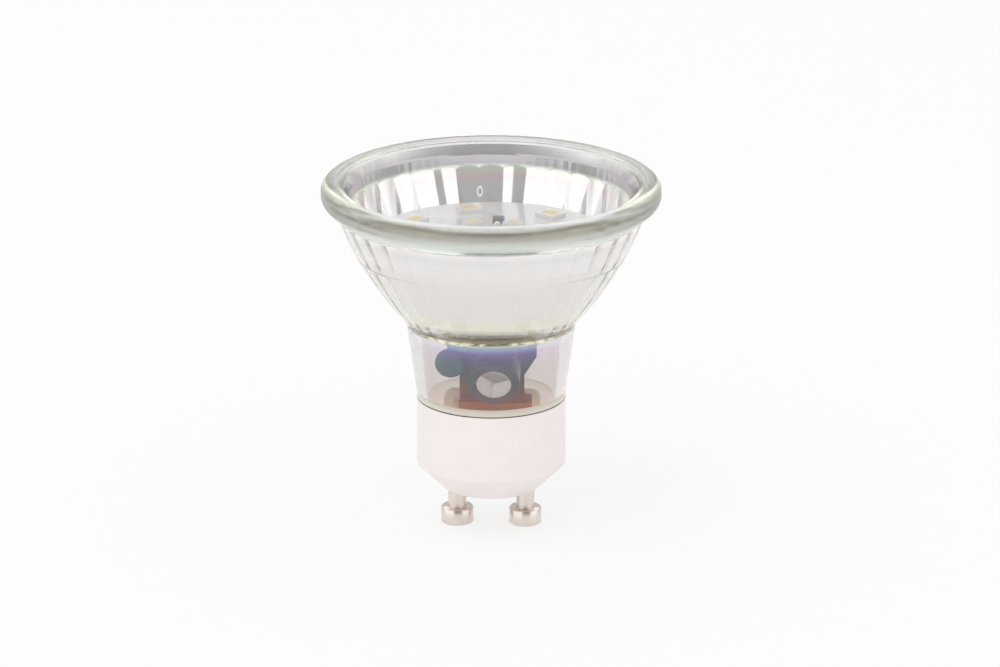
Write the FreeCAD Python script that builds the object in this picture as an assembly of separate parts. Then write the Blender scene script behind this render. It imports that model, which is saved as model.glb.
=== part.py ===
"""Glass-bodied LED spotlight lamp with a twist-and-lock base of two pins.

Millimetres. The lamp stands upright: +Z points to the light-giving front, X runs through both contact
pins, and -Y is the side on which the capacitor shows through the neck. The origin is midway between the
pins, in the plane of their end faces.
"""

import FreeCAD
import Part

import math
import os

V = FreeCAD.Vector

# Contact pins
pin_pitch = 10.0
pin_head_radius = 2.375
pin_head_height = 2.45
pin_head_edge = 0.18
pin_shank_radius = 1.35
pin_projection = 5.9
pin_bore_clearance = 0.05
pin_flange_radius = 2.0
pin_flange_height = 0.6
pin_tail_radius = 0.8
pin_tail_height = 1.6

# Base cap
base_radius = 10.9
base_height = 13.7
base_foot_margin = 0.65
base_bevel_height = 3.75
base_wall = 1.5
base_floor = 2.7
base_edge_round = 0.45
rib_width = 1.0
rib_height = 7.0
rib_grip = 0.75
rib_root = 0.5

# Glass body
glass_turn = 2.6
spigot_length = 3.4
spigot_wall = 1.1
spigot_shoulder = 1.1
spigot_clearance = 0.1
spigot_foot_gap = 0.2
neck_inset = 0.1
neck_height = 11.1
neck_taper = 1.55
neck_foot_wall = 1.5
neck_head_wall = 2.15
neck_head_round = 1.2
neck_bore_slope = 1.0
cone_foot_step = 0.35
cone_foot_rise = 1.0
cone_head_rise = 17.25
cone_bulge = 0.925
cone_wall = 1.9
ledge_width = 1.3
rim_radius = 24.75
rim_height = 3.7
rim_overhang = 2.1
rim_step = 0.75
rim_round = 1.45
rim_under_round = 1.9
rim_inner_round = 0.35
rim_lip = 2.25
reed_count = 36
reed_depth = 0.18
reed_foot_depth = 0.12
reed_foot_wall = 1.7
reed_foot_slope = 0.8
upper_reed_slope = 0.45
upper_reed_top = 4.3
band_width = 1.45
band_slope = 0.1

# Front cover
cover_thickness = 1.0
cover_clearance = 0.1
cover_seat_width = 1.0
cover_drop = 0.45
cover_edge = 0.15

# LED board
board_thickness = 1.0
board_depth = 9.3
board_clearance = 0.1
board_hole_radius = 0.45
led_length = 3.5
led_width = 2.8
led_height = 0.7
led_window_margin = 0.4
led_window_depth = 0.3
led_window_round = 0.5
led_edge_margin = 4.4
led_ring_angles = (51.5, 107.0, 150.5, 201.0, 249.0, 291.0, 343.0)
led_pair_length = 2.6
led_pair_width = 2.0
led_pair_radius = 6.3
led_pair_angles = (62.0, 118.0)
terminal_radius = 6.0
terminal_angle = 84.0
terminal_length = 1.6
terminal_width = 1.2
terminal_height = 0.9
solder_radius = 0.6

# Driver board
driver_thickness = 1.0
driver_front = 2.1
driver_foot_width = 9.6
driver_head_width = 13.3
driver_head_rise = 0.3
driver_step_rise = 3.2
driver_step_height = 2.8
lead_radius = 0.25
lead_end = 0.7
lead_bend = 0.6
lead_hole_clearance = 0.1

# Driver holder
holder_thickness = 1.2
holder_clearance = 0.2
holder_foot_rise = 1.8
holder_height = 11.4
holder_window_width = 8.0
holder_bar = 0.9
holder_corner = 1.4
holder_guide_width = 0.9
holder_guide_depth = 1.5
holder_play = 0.05

# Electrolytic capacitor
capacitor_radius = 3.4
capacitor_length = 8.6
capacitor_tilt = 17.0
capacitor_x = 0.7
capacitor_board_gap = 0.4
capacitor_core_gap = 0.5
capacitor_lead_pitch = 2.5
sleeve_wall = 0.2
sleeve_lip_radius = 2.4
sleeve_end_gap = 0.3
vent_angles = (100, 220, 340)
vent_width = 0.22
vent_depth = 0.15
vent_margin = 0.15
bung_radius = 2.9
bung_length = 1.3
crimp_depth = 0.35
crimp_place = 2.1

# Varistor
varistor_radius = 2.2
varistor_thickness = 1.5
varistor_round_share = 0.4
varistor_capacitor_gap = 0.65
varistor_board_gap = 3.35
varistor_rise = 1.55
varistor_lead_pitch = 1.8
varistor_lead_shift = 0.55
varistor_lead_rise = 0.7

# Transformer
core_width = 10.1
core_depth = 4.8
core_height = 8.7
core_leg = 1.4
core_yoke = 1.5
core_centre_leg = 2.4
core_x = 0.85
core_lift = 0.7
bobbin_wall = 0.5
bobbin_flange = 0.6
winding_depth = 7.0
winding_gap = 0.1
winding_round = 0.9
transformer_pin_radius = 0.3
transformer_pin_pitch = 2.5

# Fusible resistor and wires
fuse_radius = 1.1
fuse_length = 5.6
fuse_round_share = 0.4
fuse_x = -7.0
fuse_y = -1.2
fuse_lift = 0.4
fuse_lead_rise = 1.1
pad_x = 4.5
wire_radius = 0.5
wire_core_radius = 0.3
wire_bend = 1.2
wire_foot_x = 4.6
wire_foot_drop = 2.0
wire_knee_rise = 2.5
wire_straight = 3.5
wire_board_gap = 0.02

# Parts on the back of the driver board
bridge_length = 4.7
bridge_width = 3.9
bridge_height = 2.4
bridge_leg_pitch = 2.5
chip_length = 4.9
chip_width = 3.9
chip_height = 1.5
chip_leg_pitch = 1.27
chip_pin_gap = 0.35
body_bevel = 0.25
leg_width = 0.4
leg_thickness = 0.2
leg_reach = 0.9

# How far a cutting or joining body runs past the face that it has to pass
overrun = 0.5

# Heights that follow from the sizes above
base_foot_z = pin_projection
bevel_z = base_foot_z + base_bevel_height
floor_z = base_foot_z + base_floor
seam_z = base_foot_z + base_height
spigot_foot_z = seam_z - spigot_length
neck_head_z = seam_z + neck_height
cone_foot_z = neck_head_z + cone_foot_rise
cone_head_z = neck_head_z + cone_head_rise
rim_foot_z = cone_head_z + rim_step
rim_top_z = rim_foot_z + rim_height
cover_top_z = rim_top_z - cover_drop
cover_seat_z = cover_top_z - cover_thickness
board_top_z = rim_top_z - board_depth
ledge_z = board_top_z - board_thickness
flange_top_z = floor_z + pin_flange_height
tail_top_z = flange_top_z + pin_tail_height
tail_wire_z = flange_top_z + pin_tail_height / 2
driver_foot_z = floor_z + holder_bar
driver_head_z = neck_head_z + driver_head_rise
driver_step_z = seam_z + driver_step_rise
core_foot_z = tail_top_z + core_lift
window_low_z = core_foot_z + core_yoke
window_high_z = core_foot_z + core_height - core_yoke
transformer_pin_heights = (window_low_z + bobbin_flange / 2, window_high_z - bobbin_flange / 2)
bridge_z = core_foot_z + core_height / 2
chip_z = transformer_pin_heights[1] + transformer_pin_radius + chip_pin_gap + chip_length / 2
fuse_foot_z = tail_top_z + fuse_lift
fuse_pad_z = fuse_foot_z + fuse_length + fuse_lead_rise

# Radii and other places that follow
base_foot_radius = pin_pitch / 2 + pin_shank_radius + base_foot_margin
base_bore_radius = base_radius - base_wall
neck_foot_radius = base_radius - neck_inset
neck_head_radius = neck_foot_radius + neck_taper
spigot_radius = neck_foot_radius - spigot_shoulder
spigot_bore_radius = spigot_radius - spigot_wall
cone_foot_radius = neck_head_radius + cone_foot_step
cone_head_radius = rim_radius - rim_overhang
mouth_radius = rim_radius - rim_lip
cover_radius = mouth_radius - cover_clearance
terminal_angles = (terminal_angle, terminal_angle + 180)
driver_back = driver_front + driver_thickness
holder_back = driver_back + holder_thickness
core_y = driver_front - winding_depth / 2 - winding_gap
transformer_pin_places = (core_x - transformer_pin_pitch / 2, core_x + transformer_pin_pitch / 2)
sleeve_radius = capacitor_radius + sleeve_wall
capacitor_axis = V(0, math.cos(math.radians(capacitor_tilt)), math.sin(math.radians(capacitor_tilt)))
capacitor_face = V(
    capacitor_x,
    driver_front - capacitor_board_gap - sleeve_radius * capacitor_axis.z - capacitor_length * capacitor_axis.y,
    core_foot_z + core_height + capacitor_core_gap + sleeve_radius * capacitor_axis.y,
)
capacitor_back = capacitor_face + capacitor_axis * capacitor_length
varistor_x = capacitor_x - sleeve_radius - varistor_capacitor_gap - varistor_radius
varistor_y = driver_front - varistor_board_gap - varistor_thickness
varistor_z = capacitor_face.z + varistor_rise
varistor_lead_z = varistor_z + varistor_lead_rise
varistor_lead_places = [
    varistor_x + varistor_lead_shift + side * varistor_lead_pitch / 2 for side in (-1, 1)
]

parts = {}


def face_of(points):
    """A flat face inside straight lines through the points."""
    return Part.Face(Part.makePolygon(list(points) + [points[0]]))


def turned(points):
    """A solid of revolution about Z from (radius, height) corners."""
    face = face_of([V(radius, 0, height) for radius, height in points])
    return face.revolve(V(0, 0, 0), V(0, 0, 1), 360)


def round_edges(solid):
    """All circular edges of a solid."""
    return [edge for edge in solid.Edges if isinstance(edge.Curve, Part.Circle)]


def ring_edges(solid, radius, height):
    """The circular edges of a turned solid with this radius at this height."""
    found = []
    for edge in round_edges(solid):
        curve = edge.Curve
        if abs(curve.Radius - radius) < 1e-4 and abs(curve.Center.z - height) < 1e-4:
            found.append(edge)
    return found


def block(x_low, x_high, y_low, y_high, z_low, z_high):
    """A box between two opposite corners."""
    return Part.makeBox(x_high - x_low, y_high - y_low, z_high - z_low, V(x_low, y_low, z_low))


def plate(outline, y_low, thickness):
    """An upright plate: an (x, z) outline pushed along +Y."""
    return face_of([V(x, y_low, z) for x, z in outline]).extrude(V(0, thickness, 0))


def wire_along(points, radius, bend):
    """A round wire along straight runs that are joined by tangent arcs of the bend radius."""
    edges = []
    start = points[0]
    for before, corner, after in zip(points, points[1:], points[2:]):
        back = (before - corner).normalize()
        forth = (after - corner).normalize()
        half_angle = back.getAngle(forth) / 2
        reach = bend / math.tan(half_angle)
        middle = (back + forth).normalize()
        arc_start = corner + back * reach
        arc_end = corner + forth * reach
        arc_middle = corner + middle * (bend / math.sin(half_angle) - bend)
        edges.append(Part.LineSegment(start, arc_start).toShape())
        edges.append(Part.Arc(arc_start, arc_middle, arc_end).toShape())
        start = arc_end
    edges.append(Part.LineSegment(start, points[-1]).toShape())
    path = Part.Wire(edges)
    section = Part.Wire([Part.Circle(points[0], points[1] - points[0], radius).toShape()])
    return path.makePipeShell([section], True, True)


def circle_through(first, second, third):
    """Centre and radius of the circle through three (radius, height) points."""
    arc = Part.Arc(*(V(radius, 0, height) for radius, height in (first, second, third)))
    circle = arc.toShape().Curve
    return circle.Center.x, circle.Center.z, circle.Radius


def cone_middle():
    """The middle of the cone's meridian arc, which bulges out from its chord."""
    run = cone_head_radius - cone_foot_radius
    rise = cone_head_z - cone_foot_z
    chord = math.hypot(run, rise)
    radius = (cone_foot_radius + cone_head_radius) / 2 + cone_bulge * rise / chord
    height = (cone_foot_z + cone_head_z) / 2 - cone_bulge * run / chord
    return radius, height


cone_points = ((cone_foot_radius, cone_foot_z), cone_middle(), (cone_head_radius, cone_head_z))


def cone_radius(height, wall):
    """Radius of the cone's meridian arc at this height, this far inside the outer face."""
    centre_radius, centre_height, arc_radius = circle_through(*cone_points)
    inner = arc_radius - wall
    return centre_radius + math.sqrt(inner**2 - (height - centre_height) ** 2)


board_radius = cone_radius(ledge_z, cone_wall) - reed_depth - board_clearance
led_ring_radius = board_radius - led_edge_margin


def reed_ring(valley_radius, depth, height):
    """A closed outline of inward arcs, one for each reed, that meet in sharp valleys."""
    edges = []
    pitch = 360.0 / reed_count
    for index in range(reed_count):
        middle = math.radians(-90 + index * pitch)
        half = math.radians(pitch / 2)
        ends = [
            V(valley_radius * math.cos(angle), valley_radius * math.sin(angle), height)
            for angle in (middle - half, middle + half)
        ]
        crest_radius = valley_radius - depth
        crest = V(crest_radius * math.cos(middle), crest_radius * math.sin(middle), height)
        edges.append(Part.Arc(ends[0], crest, ends[1]).toShape())
    return Part.Wire(edges)


def glass_outside():
    """The smooth outer form: spigot, neck, cone and rounded rim."""
    arc = Part.Arc(*(V(radius, 0, height) for radius, height in cone_points))
    under_rim_z = rim_foot_z + rim_under_round / 2
    corners = [
        V(cone_head_radius, 0, cone_head_z),
        V(rim_radius, 0, under_rim_z),
        V(rim_radius, 0, rim_top_z),
        V(0, 0, rim_top_z),
        V(0, 0, spigot_foot_z),
        V(spigot_radius, 0, spigot_foot_z),
        V(spigot_radius, 0, seam_z),
        V(neck_foot_radius, 0, seam_z),
        V(neck_head_radius, 0, neck_head_z),
        V(cone_foot_radius, 0, cone_foot_z),
    ]
    edges = [Part.LineSegment(a, b).toShape() for a, b in zip(corners, corners[1:])]
    solid = Part.Face(Part.Wire(edges + [arc.toShape()])).revolve(V(0, 0, 0), V(0, 0, 1), 360)
    rounds = (
        (rim_radius, rim_top_z, rim_round),
        (rim_radius, under_rim_z, rim_under_round),
        (neck_head_radius, neck_head_z, neck_head_round),
    )
    for radius, height, size in rounds:
        solid = solid.makeFillet(size, ring_edges(solid, radius, height))
    return solid


def band_radius(height):
    """Radius of the plain band into which the reeds' crests run out at their top."""
    top_z = rim_top_z - upper_reed_top
    crest = cone_radius(ledge_z, cone_wall) + upper_reed_slope * (top_z - ledge_z) - reed_depth
    return crest + band_slope * (height - top_z)


def upper_reeds(band_top_z):
    """The space between the reeds above the ledge. The band is narrower, so it ends them in arches."""
    foot_valley = cone_radius(ledge_z, cone_wall)
    top_valley = foot_valley + upper_reed_slope * (band_top_z - ledge_z)
    low = reed_ring(foot_valley, reed_depth, ledge_z)
    high = reed_ring(top_valley, reed_depth, band_top_z)
    between = Part.makeLoft([low, high], True, True)
    inside_band = turned(
        [(0, ledge_z), (band_radius(ledge_z), ledge_z), (band_radius(band_top_z), band_top_z), (0, band_top_z)]
    )
    return between.common(inside_band)


def lower_reeds():
    """The space between the reeds from the neck to the ledge. They deepen upwards and follow the cone."""
    levels = 4
    ledge_wall = cone_wall + ledge_width
    sections = []
    for index in range(levels):
        share = index / (levels - 1)
        height = neck_head_z + share * (ledge_z - neck_head_z)
        wall = reed_foot_wall + share * (ledge_wall - reed_foot_wall)
        depth = reed_foot_depth + share * (reed_depth - reed_foot_depth)
        below_cone = max(0.0, cone_foot_z - height)
        radius = cone_radius(height + below_cone, wall) - below_cone * reed_foot_slope
        sections.append(reed_ring(radius, depth, height))
    return Part.makeLoft(sections, True, False)


def glass_mouth(band_top_z):
    """The opening above the band: a slope up to the cover's seat, and the seat."""
    return turned(
        [
            (0, band_top_z),
            (band_radius(band_top_z), band_top_z),
            (cover_radius - cover_seat_width, cover_seat_z),
            (mouth_radius, cover_seat_z),
            (mouth_radius, rim_top_z + overrun),
            (0, rim_top_z + overrun),
        ]
    )


def neck_bore():
    """The plain bore of the spigot and the neck."""
    head_radius = neck_head_radius - neck_head_wall
    return turned(
        [
            (0, spigot_foot_z - overrun),
            (spigot_bore_radius, spigot_foot_z - overrun),
            (spigot_bore_radius, seam_z),
            (neck_foot_radius - neck_foot_wall, seam_z + neck_bore_slope),
            (head_radius, neck_head_z),
            (head_radius, neck_head_z + overrun),
            (0, neck_head_z + overrun),
        ]
    )


def glass_cavity():
    """Everything that the pressing plunger and the neck mandrel leave hollow."""
    band_top_z = rim_top_z - upper_reed_top + band_width
    reeded = upper_reeds(band_top_z).fuse(lower_reeds())
    reeded.rotate(V(0, 0, 0), V(0, 0, 1), glass_turn)
    return reeded.fuse([glass_mouth(band_top_z), neck_bore()])


def glass_reflector():
    solid = glass_outside().cut(glass_cavity()).removeSplitter()
    mouth_edge = ring_edges(solid, mouth_radius, rim_top_z)
    return solid.makeFillet(rim_inner_round, mouth_edge)


def front_cover():
    disc = Part.makeCylinder(cover_radius, cover_thickness, V(0, 0, cover_seat_z))
    return disc.makeChamfer(cover_edge, ring_edges(disc, cover_radius, cover_top_z))


def on_ring(radius, angle, height):
    """The point at this radius and angle about the lamp's axis."""
    return V(radius * math.cos(math.radians(angle)), radius * math.sin(math.radians(angle)), height)


def led_board():
    board = Part.makeCylinder(board_radius, board_thickness, V(0, 0, ledge_z))
    for angle in terminal_angles:
        foot = on_ring(terminal_radius, angle, ledge_z)
        board = board.cut(Part.makeCylinder(board_hole_radius, board_thickness, foot))
    return board


def rounded_block(length, width, height, corner):
    """A block about the origin with rounded upright corners."""
    box = block(-length / 2, length / 2, -width / 2, width / 2, 0, height)
    upright = [edge for edge in box.Edges if abs(edge.tangentAt(edge.FirstParameter).z) > 0.9]
    return box.makeFillet(corner, upright)


def placed_on_board(shape, radius, angle):
    """Sets a shape made about the origin on the LED board, with its length round the ring."""
    shape.rotate(V(0, 0, 0), V(0, 0, 1), angle - 90)
    shape.translate(on_ring(radius, angle, board_top_z))
    return shape


def led_pieces(radius, angle, length, width):
    """White housing with a shallow window, and the phosphor that fills the window."""
    housing = block(-length / 2, length / 2, -width / 2, width / 2, 0, led_height)
    margin = 2 * led_window_margin
    window = rounded_block(length - margin, width - margin, led_window_depth, led_window_round)
    window.translate(V(0, 0, led_height - led_window_depth))
    housing = housing.cut(window)
    return placed_on_board(housing, radius, angle), placed_on_board(window, radius, angle)


def board_terminals():
    """Two small black blocks, one just outside each hole in the LED board."""
    half = terminal_length / 2
    blocks = []
    for angle in terminal_angles:
        body = block(-half, half, solder_radius, solder_radius + terminal_width, 0, terminal_height)
        blocks.append(placed_on_board(body, terminal_radius, angle))
    return Part.Compound(blocks)


def board_solder():
    """A dome of solder over each hole in the LED board."""
    domes = []
    for angle in terminal_angles:
        centre = on_ring(terminal_radius, angle, board_top_z)
        domes.append(Part.makeSphere(solder_radius, centre, V(0, 0, 1), 0, 90, 360))
    return Part.Compound(domes)


def lead_holes():
    """Where leads pass through the driver board, as (x, z, lead radius)."""
    half_pitch = capacitor_lead_pitch / 2
    holes = [(capacitor_x + side * half_pitch, capacitor_back.z, lead_radius) for side in (-1, 1)]
    holes += [(x, varistor_lead_z, lead_radius) for x in varistor_lead_places]
    for x in transformer_pin_places:
        holes += [(x, z, transformer_pin_radius) for z in transformer_pin_heights]
    return holes


def driver_board():
    """T-shaped board: narrow where it stands in the base, wide in the neck."""
    half_head = driver_head_width / 2
    half_foot = driver_foot_width / 2
    outline = [
        (-half_foot, driver_foot_z),
        (half_foot, driver_foot_z),
        (half_foot, driver_step_z),
        (half_head, driver_step_z + driver_step_height),
        (half_head, driver_head_z),
        (-half_head, driver_head_z),
        (-half_head, driver_step_z + driver_step_height),
        (-half_foot, driver_step_z),
    ]
    board = plate(outline, driver_front, driver_thickness)
    for x, z, radius in lead_holes():
        start = V(x, driver_front, z)
        hole = Part.makeCylinder(radius + lead_hole_clearance, driver_thickness, start, V(0, 1, 0))
        board = board.cut(hole)
    return board


def width_inside(radius, depth):
    """Half the width that a plate has room for at this depth inside a round bore."""
    return math.sqrt(radius**2 - depth**2) - holder_clearance


def base_floor_radius():
    """Radius of the base's inner floor: the sloped wall is as thick as the upright one."""
    slope = (base_radius - base_foot_radius) / base_bevel_height
    return base_foot_radius + base_floor * slope - base_wall * math.hypot(1, slope)


def holder_half_width():
    return width_inside(spigot_bore_radius, holder_back)


def driver_holder():
    """U-shaped carrier behind the board, with a guide beside each edge of the board."""
    half = holder_half_width()
    half_foot = width_inside(base_floor_radius(), holder_back)
    top = floor_z + holder_height
    outline = [
        (-half_foot, floor_z),
        (half_foot, floor_z),
        (half, floor_z + holder_foot_rise),
        (half, top),
        (-half, top),
        (-half, floor_z + holder_foot_rise),
    ]
    body = plate(outline, driver_back, holder_thickness)
    corners = []
    for edge in body.Edges:
        middle = edge.CenterOfMass
        if abs(middle.z - top) < 1e-6 and abs(abs(middle.x) - half) < 1e-6:
            corners.append(edge)
    body = body.makeFillet(holder_corner, corners)
    inner = holder_window_width / 2
    window = block(-inner, inner, driver_back, holder_back, floor_z + holder_bar, top)
    body = body.cut(window)
    guide_inner = driver_foot_width / 2 + holder_play
    guide_foot = floor_z + holder_foot_rise
    guide_top = top - holder_corner
    for side in (-1, 1):
        ends = sorted((side * guide_inner, side * (guide_inner + holder_guide_width)))
        guide = block(ends[0], ends[1], driver_back - holder_guide_depth, driver_back, guide_foot, guide_top)
        body = body.fuse(guide)
    return body.removeSplitter()


def base_ribs():
    """Two pairs of ribs that grip the edges of the holder."""
    bore_slope_z = floor_z + (base_bore_radius - base_floor_radius()) * base_bevel_height / (
        base_radius - base_foot_radius
    )
    top_z = floor_z + rib_height
    room = turned(
        [
            (0, floor_z - rib_root),
            (base_floor_radius(), floor_z - rib_root),
            (base_bore_radius + rib_root, bore_slope_z),
            (base_bore_radius + rib_root, top_z),
            (0, top_z),
        ]
    )
    reach = holder_half_width() - rib_grip
    ribs = []
    for side in (-1, 1):
        for y_low in (driver_back - holder_play - rib_width, holder_back + holder_play):
            ends = sorted((side * reach, side * base_radius))
            rib = block(ends[0], ends[1], y_low, y_low + rib_width, floor_z - rib_root, top_z)
            ribs.append(rib.common(room))
    return ribs, bore_slope_z


def base_cap():
    """Bevelled cap with a recess for the glass, ribs for the holder and a bore for each pin."""
    ribs, bore_slope_z = base_ribs()
    recess_radius = spigot_radius + spigot_clearance
    recess_z = spigot_foot_z - spigot_foot_gap
    cap = turned(
        [
            (0, base_foot_z),
            (base_foot_radius, base_foot_z),
            (base_radius, bevel_z),
            (base_radius, seam_z),
            (recess_radius, seam_z),
            (recess_radius, recess_z),
            (base_bore_radius, recess_z),
            (base_bore_radius, bore_slope_z),
            (base_floor_radius(), floor_z),
            (0, floor_z),
        ]
    )
    for radius, height in ((base_foot_radius, base_foot_z), (base_radius, bevel_z)):
        cap = cap.makeFillet(base_edge_round, ring_edges(cap, radius, height))
    cap = cap.fuse(ribs)
    for side in (-1, 1):
        start = V(side * pin_pitch / 2, 0, base_foot_z - overrun)
        bore = Part.makeCylinder(pin_shank_radius + pin_bore_clearance, base_floor + 2 * overrun, start)
        cap = cap.cut(bore)
    return cap.removeSplitter()


def contact_pin(side):
    """Turned pin: wide head, shank through the base, flange on the floor and a tail for the wire."""
    head_z = pin_head_height
    pin = turned(
        [
            (0, 0),
            (pin_head_radius - pin_head_edge, 0),
            (pin_head_radius, pin_head_edge),
            (pin_head_radius, head_z - pin_head_edge),
            (pin_head_radius - pin_head_edge, head_z),
            (pin_shank_radius, head_z),
            (pin_shank_radius, floor_z),
            (pin_flange_radius, floor_z),
            (pin_flange_radius, flange_top_z),
            (pin_tail_radius, flange_top_z),
            (pin_tail_radius, tail_top_z),
            (0, tail_top_z),
        ]
    )
    pin.translate(V(side * pin_pitch / 2, 0, 0))
    return pin


def pin_tail(side):
    """The tail of a contact pin, to which a wire is soldered."""
    return Part.makeCylinder(pin_tail_radius, pin_tail_height, V(side * pin_pitch / 2, 0, flange_top_z))


def laid_capacitor(shape):
    """Lays a shape made along +Z from its vented end so that this end faces the viewer, nose down."""
    shape.rotate(V(0, 0, 0), V(1, 0, 0), -90 + capacitor_tilt)
    shape.translate(capacitor_face)
    return shape


def capacitor_can():
    """Aluminium can with a crimped end and three vent grooves in its face."""
    crimp_z = capacitor_length - crimp_place
    can = turned(
        [
            (0, 0),
            (capacitor_radius, 0),
            (capacitor_radius, crimp_z - crimp_depth),
            (capacitor_radius - crimp_depth, crimp_z),
            (capacitor_radius, crimp_z + crimp_depth),
            (capacitor_radius, capacitor_length),
            (bung_radius, capacitor_length),
            (bung_radius, capacitor_length - bung_length),
            (0, capacitor_length - bung_length),
        ]
    )
    for angle in vent_angles:
        groove = block(0, sleeve_lip_radius - vent_margin, -vent_width / 2, vent_width / 2, 0, vent_depth)
        groove.rotate(V(0, 0, 0), V(0, 0, 1), angle)
        can = can.cut(groove)
    return laid_capacitor(can)


def capacitor_sleeve():
    """Shrunk sleeve with a lip over the vented end."""
    end = capacitor_length - sleeve_end_gap
    sleeve = turned(
        [
            (sleeve_lip_radius, -sleeve_wall),
            (capacitor_radius, -sleeve_wall),
            (sleeve_radius, 0),
            (sleeve_radius, end),
            (capacitor_radius, end),
            (capacitor_radius, 0),
            (sleeve_lip_radius, 0),
        ]
    )
    return laid_capacitor(sleeve)


def capacitor_bung():
    """Rubber seal in the open end of the can, with a hole for each lead."""
    bung = Part.makeCylinder(bung_radius, bung_length, V(0, 0, capacitor_length - bung_length))
    for side in (-1, 1):
        centre = V(side * capacitor_lead_pitch / 2, 0, capacitor_length - bung_length)
        bung = bung.cut(Part.makeCylinder(lead_radius, bung_length, centre))
    return laid_capacitor(bung)


def capacitor_leads():
    """Two leads from inside the bung through the driver board."""
    leads = []
    for side in (-1, 1):
        end = capacitor_back + V(side * capacitor_lead_pitch / 2, 0, 0)
        start = end - capacitor_axis * bung_length
        inside = Part.makeCylinder(lead_radius, bung_length, start, capacitor_axis)
        level = Part.makeCylinder(lead_radius, driver_back + lead_end - end.y, end, V(0, 1, 0))
        joint = Part.makeSphere(lead_radius, end)
        leads.append(inside.fuse([level, joint]).removeSplitter())
    return Part.Compound(leads)


def varistor_disc():
    """Coated disc that faces the viewer, with rounded edges."""
    start = V(varistor_x, varistor_y, varistor_z)
    disc = Part.makeCylinder(varistor_radius, varistor_thickness, start, V(0, 1, 0))
    return disc.makeFillet(varistor_thickness * varistor_round_share, round_edges(disc))


def varistor_leads():
    """Two straight leads from the back of the disc through the driver board."""
    start_y = varistor_y + varistor_thickness
    length = driver_back + lead_end - start_y
    leads = []
    for x in varistor_lead_places:
        leads.append(Part.makeCylinder(lead_radius, length, V(x, start_y, varistor_lead_z), V(0, 1, 0)))
    return Part.Compound(leads)


def core_half(side):
    """One E-shaped ferrite half: a yoke and three legs that meet the other half's."""
    middle_z = core_foot_z + core_height / 2
    outer_z = middle_z + side * core_height / 2
    yoke_z = outer_z - side * core_yoke
    y_low = core_y - core_depth / 2
    y_high = core_y + core_depth / 2
    half = core_width / 2
    spans = ((-half, -half + core_leg), (-core_centre_leg / 2, core_centre_leg / 2), (half - core_leg, half))
    levels = sorted((outer_z, yoke_z))
    core = block(core_x - half, core_x + half, y_low, y_high, levels[0], levels[1])
    levels = sorted((yoke_z, middle_z))
    for low, high in spans:
        core = core.fuse(block(core_x + low, core_x + high, y_low, y_high, levels[0], levels[1]))
    return core.removeSplitter()


def transformer_bobbin():
    """Square former around the centre leg with a flange at each end."""
    low, high = window_low_z, window_high_z
    inner = core_centre_leg / 2
    outer = inner + bobbin_wall
    half_flange = core_width / 2 - core_leg - winding_gap
    y_inner = core_depth / 2
    y_outer = y_inner + bobbin_wall
    y_flange = winding_depth / 2
    body = block(-outer, outer, -y_outer, y_outer, low, high)
    for z_low in (low, high - bobbin_flange):
        flange = block(-half_flange, half_flange, -y_flange, y_flange, z_low, z_low + bobbin_flange)
        body = body.fuse(flange)
    body = body.cut(block(-inner, inner, -y_inner, y_inner, low, high)).removeSplitter()
    body.translate(V(core_x, core_y, 0))
    return body


def transformer_winding():
    """Taped winding between the flanges, rounded at its upright corners."""
    low = window_low_z + bobbin_flange
    height = window_high_z - bobbin_flange - low
    inner = core_centre_leg / 2 + bobbin_wall
    y_inner = core_depth / 2 + bobbin_wall
    width = core_width - 2 * core_leg - 4 * winding_gap
    body = rounded_block(width, winding_depth - 2 * winding_gap, height, winding_round)
    body = body.cut(block(-inner, inner, -y_inner, y_inner, 0, height))
    body.translate(V(core_x, core_y, low))
    return body


def transformer_pins():
    """Four pins from the bobbin's flanges through the driver board."""
    start_y = core_y + winding_depth / 2
    length = driver_back + lead_end - start_y
    pins = []
    for x in transformer_pin_places:
        for z in transformer_pin_heights:
            pins.append(Part.makeCylinder(transformer_pin_radius, length, V(x, start_y, z), V(0, 1, 0)))
    return Part.Compound(pins)


def fuse_resistor_body():
    """Upright resistor with a rounded coat."""
    body = Part.makeCylinder(fuse_radius, fuse_length, V(fuse_x, fuse_y, fuse_foot_z))
    return body.makeFillet(fuse_radius * fuse_round_share, round_edges(body))


def fuse_resistor_leads():
    """Lower lead to the left pin's tail, upper lead to the driver board."""
    lower = wire_along(
        [
            V(fuse_x, fuse_y, fuse_foot_z),
            V(fuse_x, fuse_y, tail_wire_z),
            V(-pin_pitch / 2, 0, tail_wire_z),
        ],
        lead_radius,
        lead_bend,
    )
    lower = lower.cut(pin_tail(-1))
    upper = wire_along(
        [
            V(fuse_x, fuse_y, fuse_foot_z + fuse_length),
            V(fuse_x, fuse_y, fuse_pad_z),
            V(-pad_x, fuse_y, fuse_pad_z),
            V(-pad_x, driver_front, fuse_pad_z),
        ],
        lead_radius,
        lead_bend,
    )
    return Part.Compound([lower, upper])


def input_wire():
    """Short wire between the right pin's tail and the driver board."""
    wire = Part.makeCylinder(wire_core_radius, driver_front, V(pad_x, 0, tail_wire_z), V(0, 1, 0))
    return wire.cut(pin_tail(1))


def output_wire(side):
    """Insulated wire from the driver board's head to the LED board, bare where it passes the hole."""
    angle = terminal_angles[0] if side > 0 else terminal_angles[1]
    top = on_ring(terminal_radius, angle, ledge_z)
    foot_y = driver_front - wire_radius - wire_board_gap
    foot = V(side * wire_foot_x, foot_y, driver_head_z - wire_foot_drop)
    knee = V(side * wire_foot_x, foot_y, driver_head_z + wire_knee_rise)
    below = V(top.x, top.y, ledge_z - wire_straight)
    sleeve = wire_along([foot, knee, below, top], wire_radius, wire_bend)
    bare = Part.makeCylinder(wire_core_radius, board_thickness, top)
    return sleeve.fuse(bare).removeSplitter()


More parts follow.
